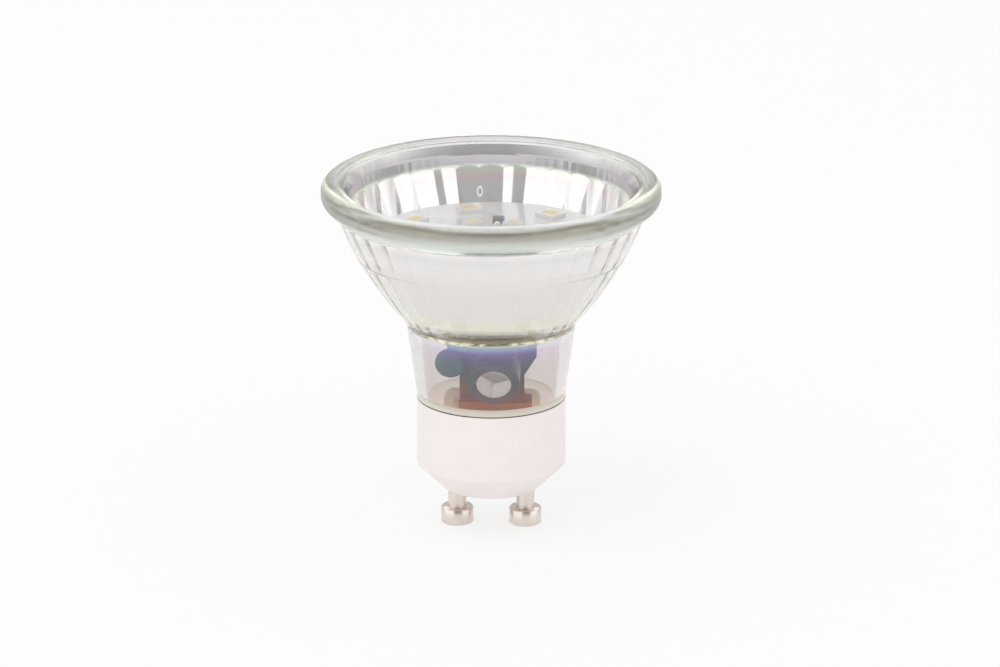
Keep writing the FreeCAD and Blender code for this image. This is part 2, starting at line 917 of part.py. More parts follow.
def legs(count, pitch, x_body, z_centre):
    """Flat legs on both sides of a surface-mounted body on the back of the driver board."""
    found = []
    for side in (-1, 1):
        for index in range(count):
            z = z_centre + (index - (count - 1) / 2) * pitch
            ends = sorted((side * x_body, side * (x_body + leg_reach)))
            found.append(
                block(
                    ends[0],
                    ends[1],
                    driver_back,
                    driver_back + leg_thickness,
                    z - leg_width / 2,
                    z + leg_width / 2,
                )
            )
    return found


def surface_body(width, length, height, z_centre):
    """Moulded body with bevelled edges on the back of the driver board."""
    box = block(
        -width / 2,
        width / 2,
        driver_back,
        driver_back + height,
        z_centre - length / 2,
        z_centre + length / 2,
    )
    top_edges = [edge for edge in box.Edges if abs(edge.CenterOfMass.y - driver_back - height) < 1e-6]
    return box.makeChamfer(body_bevel, top_edges)


parts["glass_reflector"] = glass_reflector()
parts["front_cover"] = front_cover()
parts["led_board"] = led_board()
led_places = [(led_ring_radius, angle, led_length, led_width) for angle in led_ring_angles]
led_places += [(led_pair_radius, angle, led_pair_length, led_pair_width) for angle in led_pair_angles]
for number, place in enumerate(led_places, start=1):
    housing, phosphor = led_pieces(*place)
    parts[f"led_{number}_housing"] = housing
    parts[f"led_{number}_phosphor"] = phosphor
parts["board_terminals"] = board_terminals()
parts["board_solder"] = board_solder()
parts["driver_board"] = driver_board()
parts["driver_holder"] = driver_holder()
parts["capacitor_can"] = capacitor_can()
parts["capacitor_sleeve"] = capacitor_sleeve()
parts["capacitor_bung"] = capacitor_bung()
parts["capacitor_leads"] = capacitor_leads()
parts["varistor_disc"] = varistor_disc()
parts["varistor_leads"] = varistor_leads()
parts["transformer_core_lower"] = core_half(-1)
parts["transformer_core_upper"] = core_half(1)
parts["transformer_bobbin"] = transformer_bobbin()
parts["transformer_winding"] = transformer_winding()
parts["transformer_pins"] = transformer_pins()
parts["fuse_resistor_body"] = fuse_resistor_body()
parts["fuse_resistor_leads"] = fuse_resistor_leads()
parts["input_wire"] = input_wire()
parts["output_wire_positive"] = output_wire(1)
parts["output_wire_negative"] = output_wire(-1)
parts["bridge_rectifier"] = surface_body(bridge_length, bridge_width, bridge_height, bridge_z)
parts["bridge_legs"] = Part.Compound(legs(2, bridge_leg_pitch, bridge_length / 2, bridge_z))
parts["driver_chip"] = surface_body(chip_width, chip_length, chip_height, chip_z)
parts["driver_chip_legs"] = Part.Compound(legs(4, chip_leg_pitch, chip_width / 2, chip_z))
parts["base_cap"] = base_cap()
parts["contact_pin_left"] = contact_pin(-1)
parts["contact_pin_right"] = contact_pin(1)

os.makedirs("parts", exist_ok=True)
for name, shape in parts.items():
    shape.exportStep(f"parts/{name}.step")
    print(f"{name}: {len(shape.Solids)} solid(s), {shape.Volume:.2f} mm3, valid {shape.isValid()}")
print(f"{len(parts)} nodes")
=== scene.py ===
# %% [markdown]
# # A glass LED spotlight bulb
# The lamp is one pressed glass body: a thick rim, a cone with rounded ribs on its inside, and a clear neck.
# Such ribs in glass are called reeds. Below stands a white base with two pins. The measured solids come in
# first as a fixed frame. This file gives each of them its finish, and makes the two glass pieces again as
# finer meshes, because light bends through every facet of them.

# %% Load the measured solids
import math

import bmesh
import bpy
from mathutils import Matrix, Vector


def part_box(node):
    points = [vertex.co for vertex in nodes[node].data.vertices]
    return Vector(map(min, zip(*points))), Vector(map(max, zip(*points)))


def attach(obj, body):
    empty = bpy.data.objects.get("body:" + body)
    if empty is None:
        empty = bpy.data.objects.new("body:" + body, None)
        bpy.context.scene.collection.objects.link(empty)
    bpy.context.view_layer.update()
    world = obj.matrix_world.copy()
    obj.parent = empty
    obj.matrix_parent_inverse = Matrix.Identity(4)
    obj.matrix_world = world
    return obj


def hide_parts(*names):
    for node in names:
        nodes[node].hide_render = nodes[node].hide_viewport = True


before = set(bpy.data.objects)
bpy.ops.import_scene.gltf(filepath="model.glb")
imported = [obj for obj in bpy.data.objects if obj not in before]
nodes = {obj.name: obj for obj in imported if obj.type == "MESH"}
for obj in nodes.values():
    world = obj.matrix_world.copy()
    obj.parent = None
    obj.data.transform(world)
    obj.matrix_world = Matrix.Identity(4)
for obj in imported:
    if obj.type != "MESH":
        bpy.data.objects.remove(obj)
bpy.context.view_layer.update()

MM = 0.001

# %% [markdown]
# The photograph looks slightly down on the lamp from far away with a long lens. The camera turns round a
# point on the lamp's axis, so its place follows from two angles and one distance. That point is moved a
# little to the right, because the lamp stands left of the picture's middle.

# %% Place the camera
camera_distance = 1.0
camera_elevation = math.radians(17.88)
camera_azimuth = math.radians(2.6)
camera_lens = 246.4
camera_sensor = 36
look_height = 29.08 * MM
look_right = 1.287 * MM

right = Vector((math.cos(camera_azimuth), math.sin(camera_azimuth), 0))
back = Vector(
    (
        math.sin(camera_azimuth) * math.cos(camera_elevation),
        -math.cos(camera_azimuth) * math.cos(camera_elevation),
        math.sin(camera_elevation),
    )
)
look_at = right * look_right + Vector((0, 0, look_height))
camera_data = bpy.data.cameras.new("camera")
camera_data.lens = camera_lens
camera_data.sensor_width = camera_sensor
camera = bpy.data.objects.new("camera", camera_data)
camera.location = look_at + back * camera_distance
camera.rotation_mode = "QUATERNION"
camera.rotation_quaternion = (-back).to_track_quat("-Z", "Y")
scene = bpy.context.scene
scene.collection.objects.link(camera)
scene.camera = camera
print("camera at", [round(value, 3) for value in camera.location])

# %% [markdown]
# Every finish here is a small graph of shader nodes, and the glass is a graph of geometry nodes. One helper
# adds a node and fills its sockets, which keeps those graphs readable.

# %% Helpers that add nodes
def add(tree, kind, values=(), **settings):
    """Adds a node. values fills its input sockets, by name or number, with a constant or another socket."""
    made = tree.nodes.new(kind)
    for name, setting in settings.items():
        setattr(made, name, setting)
    pairs = values.items() if isinstance(values, dict) else enumerate(values)
    for key, value in pairs:
        if isinstance(value, bpy.types.NodeSocket):
            tree.links.new(value, made.inputs[key])
        else:
            made.inputs[key].default_value = value
    return made


def math_of(tree, operation, *values):
    """The output of one Math node."""
    return add(tree, "ShaderNodeMath", values, operation=operation).outputs[0]


def largest(tree, *values):
    """The largest of several values."""
    result = values[0]
    for value in values[1:]:
        result = math_of(tree, "MAXIMUM", result, value)
    return result

# %% [markdown]
# A few shapes of graph come back often: a soft step between two values, a ramp of colours, and a mix or a
# product of two colours.

# %% Helpers for steps, ramps and mixes
def smooth_step(tree, value, low, high):
    """0 below low, 1 above high, and smooth between. With low above high it falls."""
    made = add(tree, "ShaderNodeMapRange", {0: value, 1: low, 2: high}, interpolation_type="SMOOTHSTEP")
    return made.outputs[0]


def soft_limit(tree, value, limit, edge):
    """0 before a limit and 1 past it, soft over edge to both sides. A negative edge turns it round."""
    return smooth_step(tree, value, limit - edge, limit + edge)


def ramp(tree, value, stops):
    """Colours at the places of stops, joined evenly."""
    made = add(tree, "ShaderNodeValToRGB", {0: value})
    elements = made.color_ramp.elements
    while len(elements) < len(stops):
        elements.new(0.5)
    for element, (place, colour) in zip(elements, stops):
        element.position = place
        element.color = (*colour, 1)
    return made.outputs[0]


def blend(tree, factor, first, second, **settings):
    """first where factor is 0, second where it is 1. Both are colours."""
    values = {"Factor": factor, "A": first, "B": second}
    return add(tree, "ShaderNodeMix", values, data_type="RGBA", **settings).outputs["Result"]


def times(tree, first, second):
    """The product of two colours."""
    return blend(tree, 1.0, first, second, blend_type="MULTIPLY")

# %% [markdown]
# A material starts empty and ends in one output node. Finishes read Object coordinates, which stay with the
# piece when the camera moves.

# %% Helpers that start and end a material
def new_material(name):
    material = bpy.data.materials.new(name)
    material.use_nodes = True
    material.node_tree.nodes.clear()
    return material, material.node_tree


def finish_material(tree, surface, volume=None):
    """Wires the surface, and for glass its inside too, to the material's output."""
    output = add(tree, "ShaderNodeOutputMaterial")
    tree.links.new(surface, output.inputs["Surface"])
    if volume is not None:
        tree.links.new(volume, output.inputs["Volume"])


def place_on(tree):
    """Where on the piece this is."""
    return add(tree, "ShaderNodeTexCoord").outputs["Object"]


def split(tree, vector):
    """The three numbers of a vector."""
    return add(tree, "ShaderNodeSeparateXYZ", [vector]).outputs

# %% [markdown]
# The studio is a bright room, as for a catalogue picture. Mirrors need something darker in it: if they saw
# only white, the coated reeds could not be told apart. Real cards would also shade the lamp, so three darker
# patches are painted into the world by direction: a card beside the camera, a canopy on both sides of it
# that hangs lower the farther it is away, and a low grey backdrop behind the lamp, which the flat cover
# mirrors.

# %% Say where the dark patches are, in degrees
card_middle = 10.0
card_half_width = 30.0
card_low = 8.0
card_high = 80.0
card_edge = 1.5
canopy_low = 42.0
canopy_high = 60.0
canopy_top_edge = 4.0
canopy_half_width = 75.0
canopy_side_edge = 45.0
canopy_sag = 15.0
canopy_sag_at = 85.0
backdrop_half_width = 80.0
backdrop_side_edge = 15.0
backdrop_high = 26.0
backdrop_top_edge = 5.0

# %% [markdown]
# A direction becomes two angles, one round the lamp and one above the horizon. Each patch is 0 on the patch
# and 1 off it: the largest of its soft limits, one for each side.

# %% Find the patches by direction
world = bpy.data.worlds.new("studio")
scene.world = world
world.use_nodes = True
tree = world.node_tree
tree.nodes.clear()
axes = split(tree, add(tree, "ShaderNodeTexCoord").outputs["Generated"])
forward = math_of(tree, "MULTIPLY", axes[1], -1.0)
azimuth = math_of(tree, "DEGREES", math_of(tree, "ARCTAN2", axes[0], forward))
elevation = math_of(tree, "DEGREES", math_of(tree, "ARCSINE", axes[2]))
off_middle = math_of(tree, "ABSOLUTE", math_of(tree, "SUBTRACT", azimuth, card_middle))
off_card = largest(
    tree,
    soft_limit(tree, off_middle, card_half_width, card_edge),
    soft_limit(tree, elevation, card_low, -card_edge),
    soft_limit(tree, elevation, card_high, card_edge),
)
sideways = math_of(tree, "DIVIDE", off_middle, canopy_sag_at)
sag = math_of(tree, "MULTIPLY", math_of(tree, "MULTIPLY", sideways, sideways), canopy_sag)
raised = math_of(tree, "ADD", elevation, sag)
off_canopy = largest(
    tree,
    soft_limit(tree, off_middle, canopy_half_width, canopy_side_edge),
    soft_limit(tree, raised, canopy_low, -card_edge),
    soft_limit(tree, raised, canopy_high, canopy_top_edge),
)
from_back = math_of(tree, "SUBTRACT", 180.0, math_of(tree, "ABSOLUTE", azimuth))
off_backdrop = largest(
    tree,
    soft_limit(tree, from_back, backdrop_half_width, backdrop_side_edge),
    soft_limit(tree, elevation, backdrop_high, backdrop_top_edge),
)

# %% [markdown]
# How bright the world is depends on the ray that meets it. The camera sees plain white, and mirrors and
# glass see the painted room. Scattered light finds one even level, so that a matt colour renders about as it
# is written. A ray that has met many surfaces is deep in the rim's glass, which gathers light from all
# round, so it finds an even level too.

# %% Light the room by the kind of ray
wall_level = 1.7
card_level = 0.17
canopy_level = 0.30
backdrop_level = 0.72
deep_level = 3.2
deep_path = 8.5
deep_path_edge = 2.0
room_level = 1.1
background_level = 0.985


def choose(tree, factor, first, second):
    """first where factor is 0, second where it is 1. Both are numbers."""
    return add(tree, "ShaderNodeMix", {0: factor, 2: first, 3: second}).outputs[0]


room = wall_level
patches = ((off_backdrop, backdrop_level), (off_canopy, canopy_level), (off_card, card_level))
for off_patch, patch_level in patches:
    room = add(tree, "ShaderNodeMapRange", {0: off_patch, 3: patch_level, 4: room}).outputs[0]
path = add(tree, "ShaderNodeLightPath").outputs
deep = soft_limit(tree, path["Ray Depth"], deep_path, deep_path_edge)
room = choose(tree, deep, room, deep_level)
mirrored = math_of(tree, "MAXIMUM", path["Is Glossy Ray"], path["Is Transmission Ray"])
level = choose(tree, mirrored, room_level, room)
level = choose(tree, path["Is Camera Ray"], level, background_level)
shine = add(tree, "ShaderNodeBackground", {"Strength": level})
tree.links.new(shine.outputs[0], add(tree, "ShaderNodeOutputWorld").inputs["Surface"])
print("the world has", len(tree.nodes), "nodes")

# %% [markdown]
# One large softbox hangs overhead and gives the floor its soft shadow. Mirrors and glass don't see it,
# because its bright square would show in every reed.

# %% Hang the softbox
softbox_size = 0.9
softbox_power = 3.2
softbox_place = (-0.35, -0.45, 1.2)

lamp_data = bpy.data.lights.new("overhead_softbox", "AREA")
lamp_data.size = softbox_size
lamp_data.energy = softbox_power
lamp = bpy.data.objects.new("overhead_softbox", lamp_data)
lamp.location = softbox_place
lamp.visible_glossy = False
lamp.visible_transmission = False
lamp.rotation_mode = "QUATERNION"
lamp.rotation_quaternion = lamp.location.to_track_quat("Z", "Y")
scene.collection.objects.link(lamp)
print("the softbox is", softbox_size, "m wide")

# %% [markdown]
# Glass needs more light bounces than other things: one line of sight crosses the cover, the reeds and the
# outer wall, and in the rim it is thrown to and fro. With the usual number the deepest places would go
# black.

# %% Let light cross many surfaces
deepest_path = 96
clear_layers = 24
scene.view_settings.view_transform = "Standard"
scene.cycles.max_bounces = deepest_path
scene.cycles.glossy_bounces = deepest_path
scene.cycles.transmission_bounces = deepest_path
scene.cycles.transparent_max_bounces = clear_layers
print("light may bounce", deepest_path, "times")

# %% [markdown]
# The floor is a sheet of white card that fills the picture behind the lamp. For the camera, mirrors and
# glass, a large share of it glows at exactly white, so that the background is even. The rest is card, and
# keeps the shadow round the pins.

# %% Lay the floor
floor_half = 2.5
floor_white = (0.93, 0.93, 0.93, 1)
floor_share = 0.72
floor_level = 1.0

floor_mesh = bpy.data.meshes.new("floor")
floor_corners = [(x * floor_half, y * floor_half, 0) for x, y in ((-1, -1), (1, -1), (1, 1), (-1, 1))]
floor_mesh.from_pydata(floor_corners, [], [(0, 1, 2, 3)])
floor = bpy.data.objects.new("floor", floor_mesh)
scene.collection.objects.link(floor)
material, tree = new_material("white_card")
card = add(tree, "ShaderNodeBsdfDiffuse", {"Color": floor_white}).outputs[0]
glow = add(tree, "ShaderNodeEmission", {"Strength": floor_level}).outputs[0]
path = add(tree, "ShaderNodeLightPath").outputs
seen = largest(tree, path["Is Camera Ray"], path["Is Transmission Ray"], path["Is Glossy Ray"])
share = math_of(tree, "MULTIPLY", seen, floor_share)
finish_material(tree, add(tree, "ShaderNodeMixShader", [share, card, glow]).outputs[0])
floor.data.materials.append(material)
print("the floor is", 2 * floor_half, "m wide")

# %% [markdown]
# The glass body was pressed: a mould gave it the smooth outside, and a plunger with milled grooves the reeds
# inside. The heights and radii that the frame knows are read from it, so the glass fits its neighbours.

# %% Measure the glass from the frame
glass_low, glass_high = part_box("glass_reflector")
cover_low, cover_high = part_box("front_cover")
cap_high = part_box("base_cap")[1]
rim_radius = glass_high.x
rim_top = glass_high.z
spigot_foot = glass_low.z
seam = cap_high.z
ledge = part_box("led_board")[0].z
cover_seat = cover_low.z
mouth_gap = 0.1 * MM
mouth_radius = cover_high.x + mouth_gap
print("rim radius", round(rim_radius / MM, 2), "mm, cover seat at", round(cover_seat / MM, 2), "mm")

# %% [markdown]
# The other sizes are the measured solid's: the spigot in the base, the neck, the cone, and the rim with its
# seat for the cover.

# %% Note the other sizes of the glass
spigot_shoulder = 1.1 * MM
spigot_wall = 1.1 * MM
neck_inset = 0.1 * MM
neck_taper = 1.55 * MM
neck_height = 11.1 * MM
neck_head_round = 1.2 * MM
neck_foot_wall = 1.5 * MM
neck_head_wall = 2.15 * MM
neck_bore_slope = 1.0 * MM
cone_foot_step = 0.35 * MM
cone_foot_rise = 1.0 * MM
cone_bulge = 0.925 * MM
rim_height = 3.7 * MM
rim_step = 0.75 * MM
rim_overhang = 2.1 * MM
rim_round = 1.45 * MM
rim_under_round = 1.9 * MM
rim_inner_round = 0.35 * MM
cover_seat_width = 1.1 * MM

neck_foot_radius = cap_high.x - neck_inset
neck_head_radius = neck_foot_radius + neck_taper
neck_head = seam + neck_height
spigot_radius = neck_foot_radius - spigot_shoulder
cone_foot_radius = neck_head_radius + cone_foot_step
cone_foot = neck_head + cone_foot_rise
cone_head_radius = rim_radius - rim_overhang
rim_foot = rim_top - rim_height
cone_head = rim_foot - rim_step
under_rim = rim_foot + rim_under_round / 2
print("neck head at", round(neck_head / MM, 2), "mm, cone head at", round(cone_head / MM, 2), "mm")

# %% [markdown]
# A profile is drawn like a turned part's section: straight lines, one long arc for the cone, and small
# rounds at the corners. These helpers give the points of a round and of the arc.

# %% Draw rounds and the cone's arc
def rounded_corner(before, corner, after, radius, steps=8):
    """Points of the arc that rounds a corner between two straight lines."""
    before, corner, after = (Vector(point) for point in (before, corner, after))
    toward = (before - corner).normalized()
    onward = (after - corner).normalized()
    half = toward.angle(onward) / 2
    centre = corner + (toward + onward).normalized() * (radius / math.sin(half))
    start = corner + toward * (radius / math.tan(half)) - centre
    end = corner + onward * (radius / math.tan(half)) - centre
    turn = start.angle_signed(end)
    points = []
    for step in range(steps + 1):
        angle = -turn * step / steps
        x = start.x * math.cos(angle) - start.y * math.sin(angle)
        y = start.x * math.sin(angle) + start.y * math.cos(angle)
        points.append((centre.x + x, centre.y + y))
    return points


def arc_centre(first, second, bulge):
    """Centre and radius of the arc that bulges out from the line between two points."""
    chord = Vector(second) - Vector(first)
    half = chord.length / 2
    radius = (half**2 + bulge**2) / (2 * bulge)
    outward = Vector((chord.y, -chord.x)).normalized()
    middle = (Vector(first) + Vector(second)) / 2
    return middle + outward * (bulge - radius), radius


cone_centre, cone_arc_radius = arc_centre(
    (cone_foot_radius, cone_foot), (cone_head_radius, cone_head), cone_bulge
)


def cone_radius(height, wall=0.0):
    """Radius of the cone at this height, this far inside its outer face."""
    return cone_centre.x + math.sqrt((cone_arc_radius - wall) ** 2 - (height - cone_centre.y) ** 2)


def spread(low, high, count):
    """Evenly spaced values from low to high, both included."""
    return [low + (high - low) * index / (count - 1) for index in range(count)]


print("the cone's arc has a radius of", round(cone_arc_radius / MM, 1), "mm")

# %% [markdown]
# The profile is a list of points once round the section. Each says its radius and height, how deep the reeds
# are there, the widest and narrowest radius that they may reach, and whether the glass is clear, coated with
# the mirror film, or ground matt. The outside comes first, from the seam over the rim to the cover's seat.

# %% Draw the outside of the glass
CLEAR, COATED, MATT = 0.0, 1.0, 2.0
no_limit = 1.0
neck_straight_share = 0.86


def plain_point(radius, height, film=CLEAR):
    """A profile point without reeds."""
    return (radius, height, 0.0, no_limit, 0.0, film)


def outer_profile():
    """From the spigot's shoulder up the outside and over the rim, down to the cover's seat."""
    neck_foot = (neck_foot_radius, seam)
    neck_top = (neck_head_radius, neck_head)
    cone_start = (cone_foot_radius, cone_foot)
    under_corner = (rim_radius, under_rim)
    top_corner = (rim_radius, rim_top)
    mouth_corner = (mouth_radius, rim_top)
    line = []
    for share in spread(0, neck_straight_share, 12):
        line.append((neck_foot_radius + neck_taper * share, seam + neck_height * share))
    line += rounded_corner(neck_foot, neck_top, cone_start, neck_head_round)
    line += [(cone_radius(height), height) for height in spread(cone_foot, cone_head, 40)]
    line += rounded_corner((cone_head_radius, cone_head), under_corner, top_corner, rim_under_round, 12)
    line += rounded_corner(under_corner, top_corner, mouth_corner, rim_round, 14)
    line += rounded_corner(top_corner, mouth_corner, (mouth_radius, cover_seat), rim_inner_round, 5)
    line += [(mouth_radius, cover_seat), (mouth_radius - cover_seat_width, cover_seat)]
    return [plain_point(spigot_radius, seam, MATT)] + [plain_point(*place) for place in line]

# %% [markdown]
# Inside, a sloped band leads from the cover's seat to a plain band, and the reeds begin below it. The plain
# band is narrower than the valleys, so it ends each reed in a small arch. The reeds run down to the ledge
# for the LED board, and a shallower run goes on below it to the bore of the neck.

# %% Measure the reeds
reed_count = 36
reed_turn = math.radians(2.6)
reed_depth = 0.18 * MM
reed_foot_depth = 0.12 * MM
reed_slope = 0.45
reed_top_drop = 4.3 * MM
band_slope = 0.1
band_width = 1.45 * MM
ledge_wall = 1.9 * MM
ledge_width = 1.3 * MM
foot_wall = 1.7 * MM
foot_slope = 0.8
foot_margin = 0.5 * MM

reed_top = rim_top - reed_top_drop
band_top = reed_top + band_width
ledge_radius = cone_radius(ledge, ledge_wall)
band_foot_radius = ledge_radius + reed_slope * (reed_top - ledge) - reed_depth
bore_head = neck_head_radius - neck_head_wall
print("the reeds run from", round(neck_head / MM, 2), "to", round(reed_top / MM, 2), "mm")


def band_radius(height):
    return band_foot_radius + band_slope * (height - reed_top)

# %% [markdown]
# The inside and the spigot follow. The spigot is ground matt, so that glue holds it in the base, and a last
# tiny step parts the polished bore from the ground glass.

# %% Draw the inside and the spigot
grinding_edge = 0.005 * MM


def inner_profile():
    """From the cover's seat down the inside to the head of the neck."""
    seat_radius = mouth_radius - cover_seat_width
    points = []
    for share in spread(0, 1, 8):
        radius = seat_radius + (band_radius(band_top) - seat_radius) * share
        points.append(plain_point(radius, cover_seat + (band_top - cover_seat) * share, COATED))
    for height in spread(band_top, ledge, 70)[1:]:
        valley = ledge_radius + reed_slope * (height - ledge)
        points.append((valley, height, reed_depth, band_radius(height), 0.0, COATED))
    for height in spread(ledge, neck_head, 46):
        share = (height - neck_head) / (ledge - neck_head)
        wall = foot_wall + (ledge_wall + ledge_width - foot_wall) * share
        valley = cone_radius(max(height, cone_foot), wall) - max(0.0, cone_foot - height) * foot_slope
        depth = reed_foot_depth + (reed_depth - reed_foot_depth) * share
        least = bore_head if height < neck_head + foot_margin else 0.0
        points.append((valley, height, depth, no_limit, least, COATED))
    return points


def bore_profile():
    """Down the bore of the neck and round the spigot."""
    foot_radius = neck_foot_radius - neck_foot_wall
    foot = seam + neck_bore_slope
    spigot_bore = spigot_radius - spigot_wall
    points = []
    for share in spread(0, 1, 16)[1:]:
        radius = bore_head + (foot_radius - bore_head) * share
        points.append(plain_point(radius, neck_head + (foot - neck_head) * share, COATED))
    points.append(plain_point(foot_radius - grinding_edge, foot - grinding_edge, MATT))
    for radius, height in ((spigot_bore, seam), (spigot_bore, spigot_foot), (spigot_radius, spigot_foot)):
        points.append(plain_point(radius, height, MATT))
    return points


glass_points = outer_profile() + inner_profile() + bore_profile()
print("the profile has", len(glass_points), "points")

# %% [markdown]
# A Geometry Nodes tree turns the profile, because 36 equal reeds round an axis are a rule. It lays a flat
# grid with a column for each profile point and a row for each direction, and moves every grid point to its
# place. A reed is rounder near its middle and meets the next one in a sharp valley, so the rows crowd
# towards the valleys.

# %% Read the profile and find the angle of a row
def profile_reader(tree, given, column):
    """A function that reads one attribute of the profile point with the column's number."""

    def read(name):
        field = add(tree, "GeometryNodeInputNamedAttribute", {"Name": name}, data_type="FLOAT")
        found = add(tree, "GeometryNodeSampleIndex", data_type="FLOAT", domain="POINT")
        tree.links.new(given["Profile"], found.inputs["Geometry"])
        tree.links.new(field.outputs["Attribute"], found.inputs["Value"])
        tree.links.new(column, found.inputs["Index"])
        return found.outputs["Value"]

    return read


def reed_angle(tree, given, row):
    """The direction of a row, and how far its reed bulges there: 0 in a valley and 1 in the middle."""
    steps = given["Steps per Reed"]
    reed = math_of(tree, "FLOOR", math_of(tree, "DIVIDE", row, steps))
    step = math_of(tree, "SUBTRACT", row, math_of(tree, "MULTIPLY", reed, steps))
    across = math_of(tree, "SUBTRACT", math_of(tree, "DIVIDE", step, steps), 0.5)
    across = math_of(tree, "SINE", math_of(tree, "MULTIPLY", across, math.pi))
    pitch = math_of(tree, "DIVIDE", 2 * math.pi, given["Reeds"])
    turned = math_of(tree, "ADD", reed, math_of(tree, "MULTIPLY", across, 0.5))
    angle = math_of(tree, "MULTIPLY", turned, pitch)
    angle = math_of(tree, "ADD", angle, math_of(tree, "SUBTRACT", given["Turn"], math.pi / 2))
    bulge = math_of(tree, "SUBTRACT", 1.0, math_of(tree, "MULTIPLY", across, across))
    return angle, bulge

# %% [markdown]
# The tree's sizes are named inputs. The ends of the grid meet, so points at the same place are merged, and
# at the end everything becomes real mesh with its material.

# %% Build the tree that turns a profile
merge_distance = 1e-7


def turning_tree(material):
    """Geometry Nodes: a profile mesh in, a turned and reeded body out."""
    tree = bpy.data.node_groups.new("turned_glass", "GeometryNodeTree")
    face = tree.interface
    face.new_socket("Profile", in_out="INPUT", socket_type="NodeSocketGeometry")
    for name in ("Profile Points", "Reeds", "Steps per Reed"):
        face.new_socket(name, in_out="INPUT", socket_type="NodeSocketInt")
    face.new_socket("Turn", in_out="INPUT", socket_type="NodeSocketFloat")
    face.new_socket("Body", in_out="OUTPUT", socket_type="NodeSocketGeometry")
    given = add(tree, "NodeGroupInput").outputs
    rows = math_of(tree, "ADD", math_of(tree, "MULTIPLY", given["Reeds"], given["Steps per Reed"]), 1.0)
    grid = add(tree, "GeometryNodeMeshGrid", {"Vertices X": given["Profile Points"], "Vertices Y": rows})
    index = add(tree, "GeometryNodeInputIndex").outputs[0]
    column = math_of(tree, "FLOOR", math_of(tree, "DIVIDE", index, rows))
    row = math_of(tree, "SUBTRACT", index, math_of(tree, "MULTIPLY", column, rows))
    read = profile_reader(tree, given, column)
    angle, bulge = reed_angle(tree, given, row)
    radius = math_of(tree, "SUBTRACT", read("valley"), math_of(tree, "MULTIPLY", read("depth"), bulge))
    radius = math_of(tree, "MINIMUM", radius, read("widest"))
    radius = math_of(tree, "MAXIMUM", radius, read("narrowest"))
    x = math_of(tree, "MULTIPLY", radius, math_of(tree, "COSINE", angle))
    y = math_of(tree, "MULTIPLY", radius, math_of(tree, "SINE", angle))
    place = add(tree, "ShaderNodeCombineXYZ", [x, y, read("height")]).outputs[0]
    film = {"Geometry": grid.outputs["Mesh"], "Name": "film", "Value": read("film")}
    stored = add(tree, "GeometryNodeStoreNamedAttribute", film, data_type="FLOAT", domain="POINT")
    placed = add(tree, "GeometryNodeSetPosition", {"Geometry": stored.outputs[0], "Position": place})
    merged = {"Geometry": placed.outputs[0], "Distance": merge_distance}
    closed = add(tree, "GeometryNodeMergeByDistance", merged)
    body = add(tree, "GeometryNodeRealizeInstances", {"Geometry": closed.outputs[0]}).outputs[0]
    body = add(tree, "GeometryNodeSetMaterial", {"Geometry": body, "Material": material}).outputs[0]
    tree.links.new(body, add(tree, "NodeGroupOutput").inputs[0])
    return tree

# %% [markdown]
# The tree reads the profile from a small mesh, with one vertex for each point and its other numbers as
# attributes. It runs there as a modifier, whose inputs are set by their sockets' identifiers, and the result
# is kept as a plain mesh. Its volume is printed: a negative one would mean that the faces point inwards.

# %% Turn a profile into a piece
turned_sharp = math.radians(35)


def profile_object(name, loop):
    """A mesh that holds a profile for the tree to read."""
    profile = bpy.data.meshes.new(name + "_profile")
    profile.from_pydata([(point[0], 0, point[1]) for point in loop], [], [])
    for column, label in enumerate(("valley", "height", "depth", "widest", "narrowest", "film")):
        attribute = profile.attributes.new(label, "FLOAT", "POINT")
        attribute.data.foreach_set("value", [point[column] for point in loop])
    holder = bpy.data.objects.new(name + "_profile", profile)
    scene.collection.objects.link(holder)
    return holder


def set_input(modifier, name, value):
    """Sets a modifier's input by the identifier of the socket with this name."""
    for item in modifier.node_group.interface.items_tree:
        if item.item_type == "SOCKET" and item.in_out == "INPUT" and item.name == name:
            modifier[item.identifier] = value


def signed_volume(mesh):
    """Volume inside a closed mesh: negative if its faces point inwards."""
    total = 0.0
    mesh.calc_loop_triangles()
    for triangle in mesh.loop_triangles:
        a, b, c = (mesh.vertices[index].co for index in triangle.vertices)
        total += a.dot(b.cross(c)) / 6
    return total


def turned_piece(name, points, material, steps, turn=0.0):
    """Closes a list of profile points and turns it, with this many steps for each reed."""
    loop = (points + points[:1])[::-1]
    holder = profile_object(name, loop)
    modifier = holder.modifiers.new("turned", "NODES")
    modifier.node_group = turning_tree(material)
    set_input(modifier, "Profile Points", len(loop))
    set_input(modifier, "Reeds", reed_count)
    set_input(modifier, "Steps per Reed", steps)
    set_input(modifier, "Turn", turn)
    bpy.context.view_layer.update()
    seen = holder.evaluated_get(bpy.context.evaluated_depsgraph_get())
    mesh = bpy.data.meshes.new_from_object(seen)
    bpy.data.objects.remove(holder)
    mesh.name = name
    mesh.shade_smooth()
    mesh.set_sharp_from_angle(angle=turned_sharp)
    piece = bpy.data.objects.new(name, mesh)
    scene.collection.objects.link(piece)
    volume = signed_volume(mesh)
    print(name, "has", len(mesh.polygons), "faces and holds", round(volume / MM**3, 1), "mm3")
    return piece

# %% [markdown]
# Pressed glass is clear with a faint yellow-green tint, which shows only where one looks along a lot of it,
# as at the ends of the rim. So the surface is clear glass, and the tint is an absorption inside it. A
# renderer can't aim at the softbox through a bend, so for shadow rays it is see-through.

# %% Make clear glass
glass_ior = 1.5
glass_tint = (0.945, 0.965, 0.87, 1)
glass_density = 22.0
cover_lamp_share = 0.97


def let_lamps_through(tree, surface, share):
    """Mixes in a see-through surface for shadow rays."""
    path = add(tree, "ShaderNodeLightPath").outputs["Is Shadow Ray"]
    clear = add(tree, "ShaderNodeBsdfTransparent", {"Color": (share, share, share, 1)}).outputs[0]
    return add(tree, "ShaderNodeMixShader", [path, surface, clear]).outputs[0]


